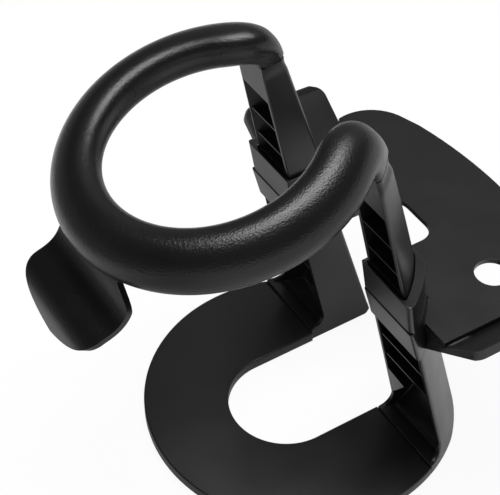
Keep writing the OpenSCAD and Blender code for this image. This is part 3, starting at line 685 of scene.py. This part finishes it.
def hookBody(h):
    # A sloping plate with an upright lip: its outline, drawn in by each row's inset, is carried round
    # the lip's section from the underside over the lip to the plate's top.
    slope = math.radians(h["slope"])
    reach, wide = (h["tipX"] - h["rootX"]) / math.cos(slope), h["back"] - h["front"]
    e, t = h["edge"], h["thick"]

    def outline(inset):
        a, b = np.radians(np.linspace(-90, 0, 12)), np.radians(np.linspace(0, 90, 18))
        f, g = h["frontRound"] - inset, h["backRound"] - inset
        start, line = -h["under"] + inset, np.linspace(0, 1, 40)
        frontEnd, backEnd = reach - h["frontRound"], reach - h["backRound"]
        d = np.concatenate([start + (frontEnd - start) * line[:-1], frontEnd + f * np.cos(a),
                            backEnd + g * np.cos(b), backEnd + (start - backEnd) * line[1:]])
        y = np.concatenate([inset + 0 * line[:-1], h["frontRound"] + f * np.sin(a),
                            wide - h["backRound"] + g * np.sin(b), wide - inset + 0 * line[1:]])
        return d, y

    soft = h["edgeSoft"] * e
    # each row: inset, depth below the plate's top, share of the lip's height and what is taken off it
    rows = ((h["underIn"], t, 0, 0), (e, t, 0, 0), (soft, t - soft, 0, 0), (0, t - e, 0, 0), (0, 0, 1, e),
            (soft, 0, 1, soft), (e, 0, 1, 0), (h["lip"] - e, 0, 1, 0), (h["lip"] - soft, 0, 1, soft),
            (h["lip"], 0, 1, e), (h["lip"], 0, h["lipFoot"], 0), (h["lip"] + h["lipFillet"], 0, 0, 0))
    plate = []
    for inset, below, share, off in rows:
        d, y = outline(inset)
        # the lip runs out before the back edge
        fade = np.clip((h["lipEnd"] - h["front"] - y) / h["lipFade"], 0, 1)
        lip = fade * np.clip(d, 0, 1) * (h["lipRoot"] + (h["lipTip"] - h["lipRoot"]) * d / reach)
        up = np.maximum(share * lip - off, 0.0)
        plate.append(np.stack([h["rootX"] + d * math.cos(slope) + below * math.sin(slope), h["front"] + y,
                               h["rootZ"] + d * math.sin(slope) - below * math.cos(slope) + up], -1))
    # the web fills the corner between the plate's inner end and the shelf
    back = (h["under"] - h["underIn"]) * np.array([math.cos(slope), math.sin(slope)])
    lowX, lowZ = np.array([h["rootX"], h["rootZ"]]) - back
    webX = h["rootX"] - h["webGap"]
    webLow, webTop = h["rootZ"] - np.array(h["webDrop"])
    web = prism([(lowX, lowZ), (webX, webLow), (webX, webTop), (lowX, webTop)], h["front"] + h["webFront"],
                h["front"] + h["lip"])
    (x0, x1), (y0, y1), (z0, z1) = h["flange"]
    z, inset = edgeRows(z0, z1, 2, h["flangeEdge"])
    flange = column(legLoop(y0 + inset, y1 - inset, x0 + inset, lambda y: x1 - inset + 0 * y,
                            h["flangeReach"]), z)
    return [np.stack(plate), web, flange]


makePair(("right_side_hook_moulded", "left_side_hook_moulded"), "base_frame", hookBody(hook),
         ("right_side_hook", "left_side_hook"))
print("hooks made")


# The shelf is a pierced plate that one grid can't give, so it is a merged copy of its solid with its flat
# faces joined and its edges rounded as the tool leaves them.
shelf = {"node": "rear_shelf", "edge": 0.6, "flatAngle": 0.4, "edgeAngle": 28.0}


def roundedCopy(s):
    nodeName = s["node"]
    body = frame["nodes"][nodeName]["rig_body"]
    mesh = frame["nodes"][nodeName].data.copy()
    work = bmesh.new()
    work.from_mesh(mesh)
    bmesh.ops.remove_doubles(work, verts=work.verts, dist=weld)
    bmesh.ops.dissolve_limit(work, angle_limit=math.radians(s["flatAngle"]), verts=work.verts,
                             edges=work.edges)
    work.to_mesh(mesh)
    work.free()
    piece = finishPiece(nodeName + "_moulded", mesh, frameAbs, body, (nodeName,))
    edge = piece.modifiers.new("edge", "BEVEL")
    edge.width, edge.segments = s["edge"] * mm, 3
    edge.limit_method, edge.angle_limit = "ANGLE", math.radians(s["edgeAngle"])
    piece.modifiers.new("even", "WEIGHTED_NORMAL").keep_sharp = True


roundedCopy(shelf)
print("shelf made")


foot = {"radius": 6.5, "height": 2.0, "edge": 0.5, "dish": 0.3, "dishShare": 0.6, "middle": 0.01,
        "columns": 48, "spots": ((0, -58), (-62, -20), (62, -20), (-50, 62), (50, 62))}


def footSurface(f):
    # a low disc turned about its own axis, rounded at its tread and slightly dished underneath
    a = np.radians(np.linspace(0, 90, 6))
    tread = f["radius"] - f["edge"] + f["edge"] * np.sin(a)
    r = np.concatenate([[f["middle"], f["radius"] * f["dishShare"]], tread, [f["radius"], f["middle"]]])
    z = np.concatenate([[f["dish"]] * 2, f["edge"] - f["edge"] * np.cos(a), [f["height"]] * 2])
    turn = np.linspace(0, 2 * np.pi, f["columns"], endpoint=False)
    r, z = r[:, None], np.repeat(z[:, None], turn.size, 1)
    return np.stack([r * np.cos(turn), r * np.sin(turn), z], -1)


pads = [footSurface(foot) + (x, y, -placing["lift"]) for x, y in foot["spots"]]
makePiece("rubber_foot_pads", *joinTubes(pads), feetRubber, "base_frame", "rubber", ("rubber_feet",))
for nodeName in ("foot_screws", "socket_screws", "shelf_screws", "hook_screws"):
    screws = frame["nodes"][nodeName]
    screws.data.materials.clear()
    screws.data.materials.append(screwSteel)
print("feet and screws made")


# White paper floor and a white surround. Shiny plastic sees the surround as a low band under a dark
# ceiling, brighter to the right and behind; the ambient level is the even light on everything else.
# the floor's tones for shiny rays are painted light and shade: a painted shadow of the stand and painted
# bright zones
studio = {"floorSize": 3.0, "paper": "#f4f4f4", "white": "#ffffff", "black": "#000000", "floorGlow": 0.93,
          "ambient": 0.4, "ceiling": 0.06, "bandTop": 0.34, "bandWhite": 0.06, "skyFade": 0.35,
          "brightSide": (0.8, 0.6, 0.0), "shinyGlow": 0.6, "shinyDim": 0.75,
          "paintedFloorLightAndShade": ((-0.9, 0.1), (-0.65, 0.2), (-0.45, 1.0), (-0.29, 1.0), (-0.19, 0.25), (0.1, 1.0))}


def seenRays(tree):
    # whether a ray looks at the background straight or through glass, and whether off a shiny surface
    path = addNode(tree, "ShaderNodeLightPath")
    straight = addNode(tree, "ShaderNodeMath", {"operation": "MAXIMUM"},
                       {0: path.outputs["Is Camera Ray"], 1: path.outputs["Is Transmission Ray"]})
    return straight.outputs["Value"], path.outputs["Is Glossy Ray"]


floorMesh = bpy.data.meshes.new("studio_floor")
half = studio["floorSize"]
corners = [(-half, -half, 0), (half, -half, 0), (half, half, 0), (-half, half, 0)]
floorMesh.from_pydata(corners, [], [(0, 1, 2, 3)])
floor = bpy.data.objects.new("studio_floor", floorMesh)
bpy.context.scene.collection.objects.link(floor)
material, tree = newMaterial("white studio paper")
straight, glossy = seenRays(tree)
# Painted light and shade on the floor, seen only by shiny plastic: the paper is painted bright to the right
# and behind, darkened as a painted shadow of the stand to the left and in front, painted bright again further
# out and dark beyond: tones along the bright side's direction, in metres.
across = addNode(tree, "ShaderNodeVectorMath", {"operation": "DOT_PRODUCT"},
                 {0: addNode(tree, "ShaderNodeTexCoord").outputs["Object"], 1: studio["brightSide"]})
places, tones = np.array(studio["paintedFloorLightAndShade"]).T
along = addNode(tree, "ShaderNodeMapRange", {},
                {"Value": across.outputs["Value"], "From Min": places[0], "From Max": places[-1]})
bright = addNode(tree, "ShaderNodeFloatCurve", {}, {"Value": along.outputs["Result"]})
points = bright.mapping.curves[0].points
shares = (places - places[0]) / np.ptp(places)
for place, level in zip(shares[1:-1], tones[1:-1]):
    points.new(place, level)
points[0].location = (0.0, tones[0])
points[len(tones) - 1].location = (1.0, tones[-1])
bright.mapping.update()
shinyGlow = addNode(tree, "ShaderNodeMath", {"operation": "MULTIPLY"},
                    {0: bright.outputs["Value"], 1: studio["shinyGlow"]})
shinyDim = addNode(tree, "ShaderNodeMath", {"operation": "MULTIPLY_ADD"},
                   {0: bright.outputs["Value"], 1: -studio["shinyDim"], 2: studio["shinyDim"]})
# painted shadow: for shiny rays the paper is darkened towards black where the tones are low
dim = addNode(tree, "ShaderNodeMath", {"operation": "MULTIPLY"}, {0: glossy, 1: shinyDim.outputs["Value"]})
tone = addNode(tree, "ShaderNodeMix", {"data_type": "RGBA"},
               {"Factor": dim.outputs["Value"], "A": srgb(studio["paper"]), "B": srgb(studio["black"])})
# painted light: for shiny rays the paper glows where the tones are high
mirrored = addNode(tree, "ShaderNodeMath", {"operation": "MULTIPLY"},
                   {0: glossy, 1: shinyGlow.outputs["Value"]})
seen = addNode(tree, "ShaderNodeMath", {"operation": "MAXIMUM"},
               {0: straight, 1: mirrored.outputs["Value"]})
share = addNode(tree, "ShaderNodeMath", {"operation": "MULTIPLY"},
                {0: seen.outputs["Value"], 1: studio["floorGlow"]})
paper = addNode(tree, "ShaderNodeBsdfDiffuse", {}, {"Color": tone.outputs["Result"]})
glow = addNode(tree, "ShaderNodeEmission", {}, {"Color": srgb(studio["white"]), "Strength": 1.0})
both = addNode(tree, "ShaderNodeMixShader", {}, {0: share.outputs["Value"], 1: paper.outputs["BSDF"],
                                                2: glow.outputs["Emission"]})
addNode(tree, "ShaderNodeOutputMaterial", {}, {"Surface": both.outputs["Shader"]})
floorMesh.materials.append(material)

world = bpy.data.worlds.new("studio")
bpy.context.scene.world = world
world.use_nodes = True
tree = world.node_tree
tree.nodes.clear()
straight, glossy = seenRays(tree)
# the incoming direction points back at the viewer, so its height is minus that of the sky's point
incoming = addNode(tree, "ShaderNodeNewGeometry").outputs["Incoming"]
height = addNode(tree, "ShaderNodeSeparateXYZ", {}, {"Vector": incoming})
band = addNode(tree, "ShaderNodeMapRange", {"interpolation_type": "SMOOTHSTEP"},
               {"Value": height.outputs["Z"], "From Min": -studio["bandTop"],
                "From Max": -studio["bandWhite"], "To Min": studio["ceiling"], "To Max": 1.0})
towards = addNode(tree, "ShaderNodeVectorMath", {"operation": "DOT_PRODUCT"},
                  {0: incoming, 1: studio["brightSide"]})
side = addNode(tree, "ShaderNodeMapRange", {},
               {"Value": towards.outputs["Value"], "From Min": studio["skyFade"],
                "From Max": -studio["skyFade"], "To Min": 1 - studio["shinyDim"], "To Max": 1.0})
surround = addNode(tree, "ShaderNodeMath", {"operation": "MULTIPLY"},
                   {0: band.outputs["Result"], 1: side.outputs["Result"]})
shiny = addNode(tree, "ShaderNodeMix", {"data_type": "FLOAT"},
                {"Factor": glossy, "A": studio["ambient"], "B": surround.outputs["Value"]})
strength = addNode(tree, "ShaderNodeMix", {"data_type": "FLOAT"},
                   {"Factor": straight, "A": shiny.outputs["Result"], "B": 1.0})
background = addNode(tree, "ShaderNodeBackground", {},
                     {"Color": srgb(studio["white"]), "Strength": strength.outputs["Result"]})
addNode(tree, "ShaderNodeOutputWorld", {}, {"Surface": background.outputs["Background"]})


def aim(location, target):
    # turn that looks from location to target
    return (Vector(target) - Vector(location)).to_track_quat("-Z", "Y").to_euler()


# A long softbox overhead and, facing the camera over the stand, a large weak panel that the flat tops mirror
lamps = {"key": {"at": (-0.02, 0.08, 1.2), "to": (-0.02, 0.08, 0.0), "size": (0.44, 0.85), "watts": 11.5},
         "panel": {"at": (-0.8, 0.85, 1.24), "to": (0.0, 0.0, 0.12), "size": (2.0, 1.5), "watts": 2.1}}
for lampName, l in lamps.items():
    light = bpy.data.lights.new("softbox_" + lampName, "AREA")
    light.shape = "RECTANGLE"
    light.size, light.size_y = l["size"]
    light.energy = l["watts"]
    lamp = bpy.data.objects.new("softbox_" + lampName, light)
    lamp.location = l["at"]
    lamp.rotation_euler = aim(l["at"], l["to"])
    bpy.context.scene.collection.objects.link(lamp)

# Viewpoint worked out from the picture's perspective; image 500 by 495
view = {"at": (0.4464, -0.3021, 0.6599), "forward": (-0.6026, 0.3763, -0.7038), "lens": 108.0, "sensor": 36.0,
        "clip": (0.01, 20.0)}
cameraData = bpy.data.cameras.new("camera")
cameraData.sensor_width, cameraData.lens = view["sensor"], view["lens"]
cameraData.clip_start, cameraData.clip_end = view["clip"]
camera = bpy.data.objects.new("camera", cameraData)
camera.location = view["at"]
camera.rotation_euler = Vector(view["forward"]).to_track_quat("-Z", "Y").to_euler()
bpy.context.scene.collection.objects.link(camera)
bpy.context.scene.camera = camera
bpy.context.scene.view_settings.view_transform = "Standard"
print("studio set")
